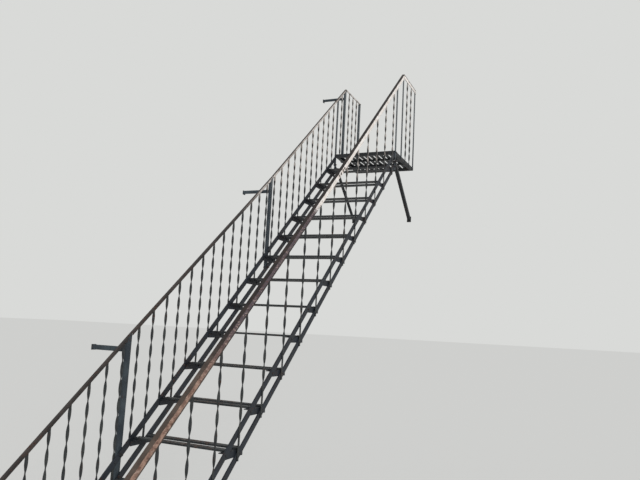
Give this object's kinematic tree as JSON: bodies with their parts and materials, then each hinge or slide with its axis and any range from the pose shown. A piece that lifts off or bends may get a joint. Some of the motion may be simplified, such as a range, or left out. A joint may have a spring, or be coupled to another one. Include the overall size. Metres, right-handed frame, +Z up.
{
  "type": "fire escape stair",
  "caption": "Straight open steel fire escape stair with flat-bar strings, open bar treads, twisted pickets, angle handrails, wall stays and a short landing on knee braces.",
  "frame": {"origin": "underside of the wall side foot plate, below the middle of the wall side string, on the ground", "axes": "+X away from the building wall across the flight, +Y along the wall in the direction of climb, +Z up"},
  "size_m": [1.037, 5.035, 4.6264],
  "materials": {
    "string_paint": "painted dark green-black, chalky, with rust at the rivets",
    "tread_paint": "painted dark grey, worn through along the edges",
    "wall_rail_paint": "painted dark green-black, lightly rusted",
    "worn_rail_paint": "old dark paint worn to salmon primer and rust",
    "picket_paint": "painted dark green-black, with rust at the fixings",
    "post_paint": "painted dark blue-grey, scuffed",
    "frame_paint": "painted dark green-black, lightly rusted"
  },
  "bodies": {
    "root": {"left_upper_chord": "string_paint", "left_lower_chord": "string_paint", "right_upper_chord": "string_paint", "right_lower_chord": "string_paint", "left_tread_brackets": "string_paint", "right_tread_brackets": "string_paint", "tread_01": "tread_paint", "tread_02": "tread_paint", "tread_03": "tread_paint", "tread_04": "tread_paint", "tread_05": "tread_paint", "tread_06": "tread_paint", "tread_07": "tread_paint", "tread_08": "tread_paint", "tread_09": "tread_paint", "tread_10": "tread_paint", "tread_11": "tread_paint", "tread_12": "tread_paint", "tread_13": "tread_paint", "tread_14": "tread_paint", "tread_15": "tread_paint", "landing_deck": "tread_paint", "left_handrail_lower": "wall_rail_paint", "left_handrail_middle": "wall_rail_paint", "left_handrail_upper": "wall_rail_paint", "left_landing_guard": "wall_rail_paint", "right_handrail_lower": "worn_rail_paint", "right_handrail_upper": "worn_rail_paint", "right_landing_guard": "worn_rail_paint", "left_pickets_lower": "picket_paint", "left_pickets_middle": "picket_paint", "left_pickets_upper": "picket_paint", "right_pickets_lower": "picket_paint", "right_pickets_upper": "picket_paint", "foot_plates": "post_paint", "foot_posts": "post_paint", "low_post": "post_paint", "middle_post": "post_paint", "head_posts": "post_paint", "low_wall_stay": "post_paint", "middle_wall_stay": "post_paint", "top_wall_stay": "post_paint", "landing_frame": "frame_paint", "left_knee_brace": "frame_paint", "right_knee_brace": "frame_paint"}
  },
  "joints": []
}
